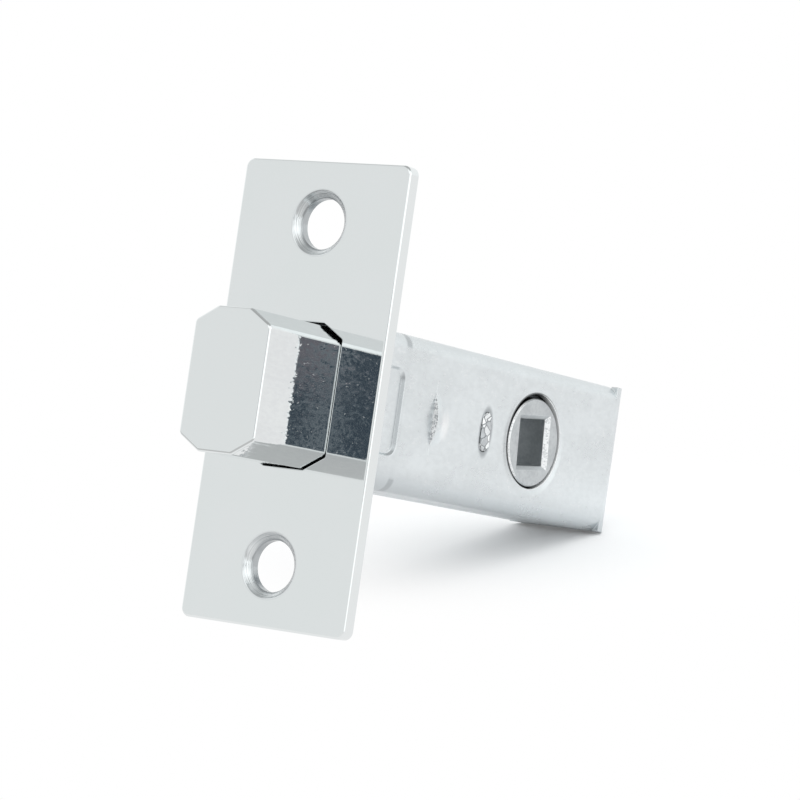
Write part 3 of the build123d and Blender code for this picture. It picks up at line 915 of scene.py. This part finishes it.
def makeFloor():
    # a square in the plane through both feet, tilted about X
    startY, startZ = floorPlan["plateFoot"]
    endY, endZ = floorPlan["caseFoot"]
    slope = math.atan2(endZ - startZ, endY - startY)
    half = floorPlan["half"]
    along = np.array([[-half, -half], [half, -half], [half, half], [-half, half]])
    corners = np.empty((4, 3))
    corners[:, 0] = along[:, 0]
    corners[:, 1] = startY + along[:, 1] * math.cos(slope)
    corners[:, 2] = startZ + along[:, 1] * math.sin(slope)
    mesh = bpy.data.meshes.new("floor")
    mesh.from_pydata((corners * mm).tolist(), [], [(0, 1, 2, 3)])
    floor = addObject("floor", mesh)
    material, tree, output = bareMaterial("paleFloor")
    matt = addNode(tree, "ShaderNodeBsdfDiffuse", Color=(floorPlan["albedo"],) * 3 + (1.0,))
    glow = addNode(tree, "ShaderNodeEmission", Strength=floorPlan["glow"])
    lit = tree.nodes.new("ShaderNodeAddShader")
    tree.links.new(matt.outputs[0], lit.inputs[0])
    tree.links.new(glow.outputs[0], lit.inputs[1])
    # away from the object the floor fades to plain white, and toward the front it dims in reflections
    place = objectPlace(tree)
    away = addVector(tree, "LENGTH", addVector(tree, "SUBTRACT", place, floorPlan["middle"]))
    glossy = tree.nodes.new("ShaderNodeLightPath").outputs["Is Glossy Ray"]
    dim = addRamp(tree, splitAxes(tree, place)["Y"], *floorPlan["front"])
    white = tree.nodes.new("ShaderNodeEmission")
    wire(tree, white, Strength=addMath(tree, "MULTIPLY_ADD", glossy, floorPlan["mirrorLoss"], 1.0))
    grey = addNode(tree, "ShaderNodeEmission", Strength=floorPlan["frontGrey"])
    faded = mixShaders(tree, addRamp(tree, away, *floorPlan["fade"]), lit.outputs[0], white.outputs[0])
    dimmed = mixShaders(tree, times(tree, dim, glossy), faded, grey.outputs[0])
    clear = tree.nodes.new("ShaderNodeBsdfTransparent")
    wire(tree, output, Surface=mixShaders(tree, surfaceNormal(tree, "Backfacing"), dimmed, clear.outputs[0]))
    mesh.materials.append(material)


makeFloor()

# Studio: a white room, one broad soft lamp and a dark card in front

lampPlan = {"place": (120.0, 120.0, 380.0), "target": (0.0, 30.0, 0.0), "side": 420.0, "power": 0.3}
# lowLight and highLight fall on the part, the rest is what its reflections and the camera see
studio = {"lowLight": 1.4, "highLight": 0.92, "roomForShine": 0.97, "roomForEye": 1.0,
          "lightTint": (0.97, 0.99, 1.0, 1.0), "shineTint": (0.985, 1.0, 1.0, 1.0),
          "frontLoss": 0.12, "frontUpperLoss": 0.05, "panel": 0.35, "sideGain": 0.35,
          # smooth steps by the direction's X, Y or Z
          "front": (-0.6, -0.25, 1.0, 0.0), "panelRight": (-0.12, 0.12), "panelUp": (0.2, 0.4),
          "ceiling": (0.62, 0.9, 0.0, 0.5), "beside": (0.6, 0.78), "level": (0.1, 0.7)}


def makeRoom():
    world = bpy.data.worlds.new("room")
    bpy.context.scene.world = world
    world.use_nodes = True
    tree = world.node_tree
    tree.nodes.clear()
    output = tree.nodes.new("ShaderNodeOutputWorld")
    path = tree.nodes.new("ShaderNodeLightPath").outputs
    x, y, z = splitAxes(tree, tree.nodes.new("ShaderNodeTexCoord").outputs["Generated"])
    # the wall in front is a little darker and darkens upward, but for a bright panel at the upper right
    front = addRamp(tree, y, *studio["front"])
    upper = addMath(tree, "MAXIMUM", z, 0.0)
    loss = addMath(tree, "MULTIPLY_ADD", upper, studio["frontUpperLoss"], studio["frontLoss"])
    wall = times(tree, front, loss)
    panel = times(tree, addRamp(tree, x, *studio["panelRight"]), addRamp(tree, z, *studio["panelUp"]))
    panel = times(tree, times(tree, panel, front), studio["panel"])
    ceiling = addRamp(tree, z, *studio["ceiling"])
    shade = addMath(tree, "SUBTRACT", studio["roomForShine"], addMath(tree, "ADD", wall, ceiling))
    beside = addMath(tree, "MULTIPLY_ADD", addRamp(tree, x, *studio["beside"]), studio["sideGain"], panel)
    # the light that falls low along the floor is stronger than the light from overhead
    lit = addNode(tree, "ShaderNodeBackground", Color=studio["lightTint"])
    wire(tree, lit, Strength=addRamp(tree, z, *studio["level"], studio["lowLight"], studio["highLight"]))
    shine = addNode(tree, "ShaderNodeBackground", Color=studio["shineTint"])
    wire(tree, shine, Strength=addMath(tree, "ADD", shade, beside))
    eye = addNode(tree, "ShaderNodeBackground", Color=(1.0, 1.0, 1.0, 1.0), Strength=studio["roomForEye"])
    indirect = mixShaders(tree, path["Is Glossy Ray"], lit.outputs[0], shine.outputs[0])
    wire(tree, output, Surface=mixShaders(tree, path["Is Camera Ray"], indirect, eye.outputs[0]))


def makeLamp():
    data = bpy.data.lights.new("topLamp", "AREA")
    data.shape = "SQUARE"
    data.size = lampPlan["side"] * mm
    data.energy = lampPlan["power"]
    lamp = addObject("topLamp", data)
    way = (Vector(lampPlan["target"]) - Vector(lampPlan["place"])).normalized()
    turn = way.to_track_quat("-Z", "Y").to_matrix().to_4x4()
    lamp.matrix_world = Matrix.Translation(Vector(lampPlan["place"]) * mm) @ turn
    lamp.visible_glossy = False


cardPlan = {"centre": (243.0, -318.0, 24.0), "halfWidth": 24.0, "halfHeight": 26.0,
            "low": (0.054, 0.075, 0.098), "high": (0.185, 0.172, 0.195), "stripe": (0.235, 0.265, 0.29),
            "creaseColour": (0.02, 0.028, 0.036), "creaseShare": 0.38, "creases": (900.0, 3000.0, 0.4),
            # smooth steps over the card, in metres
            "upward": (-0.004, 0.0065),
            "rightward": (-0.0015, 0.0012), "stripeMiddle": 0.0012, "stripeRange": (0.0022, 0.0052, 0.8, 0.0)}


def makeCard():
    # an upright dark card, seen only in reflections, paler down its middle and at its upper right
    centre = Vector(cardPlan["centre"])
    across = Vector((view["right"][0], view["right"][1], 0.0)).normalized()
    rise = Vector((0, 0, cardPlan["halfHeight"]))
    half = across * cardPlan["halfWidth"]
    mesh = bpy.data.meshes.new("darkCard")
    mesh.from_pydata([tuple(c * mm) for c in (centre - half - rise, centre + half - rise, centre + half + rise,
                                              centre - half + rise)], [], [(0, 1, 2, 3)])
    material, tree, output = bareMaterial("darkCard")
    moved = addVector(tree, "SUBTRACT", objectPlace(tree), tuple(centre * mm))
    sideways = addVector(tree, "DOT_PRODUCT", moved, tuple(across))
    upward = addRamp(tree, splitAxes(tree, moved)["Z"], *cardPlan["upward"])
    upward = times(tree, upward, addRamp(tree, sideways, *cardPlan["rightward"]))
    tint = mixColour(tree, upward, cardPlan["low"], cardPlan["high"])
    fromMiddle = addMath(tree, "ABSOLUTE", addMath(tree, "SUBTRACT", sideways, cardPlan["stripeMiddle"]))
    tint = mixColour(tree, addRamp(tree, fromMiddle, *cardPlan["stripeRange"]), tint, cardPlan["stripe"])
    creased = mottle(tree, *cardPlan["creases"], Stretch=(1.0, 1.0, 0.5), Low=0.3, High=0.7)
    tint = mixColour(tree, times(tree, creased, cardPlan["creaseShare"]), tint, cardPlan["creaseColour"])
    glow = tree.nodes.new("ShaderNodeEmission")
    wire(tree, glow, Color=tint)
    wire(tree, output, Surface=glow.outputs[0])
    mesh.materials.append(material)
    card = addObject("darkCard", mesh)
    card.visible_camera = card.visible_diffuse = card.visible_shadow = card.visible_transmission = False


makeRoom()
makeLamp()
makeCard()
bpy.context.scene.view_settings.view_transform = "Standard"
print("studio made")
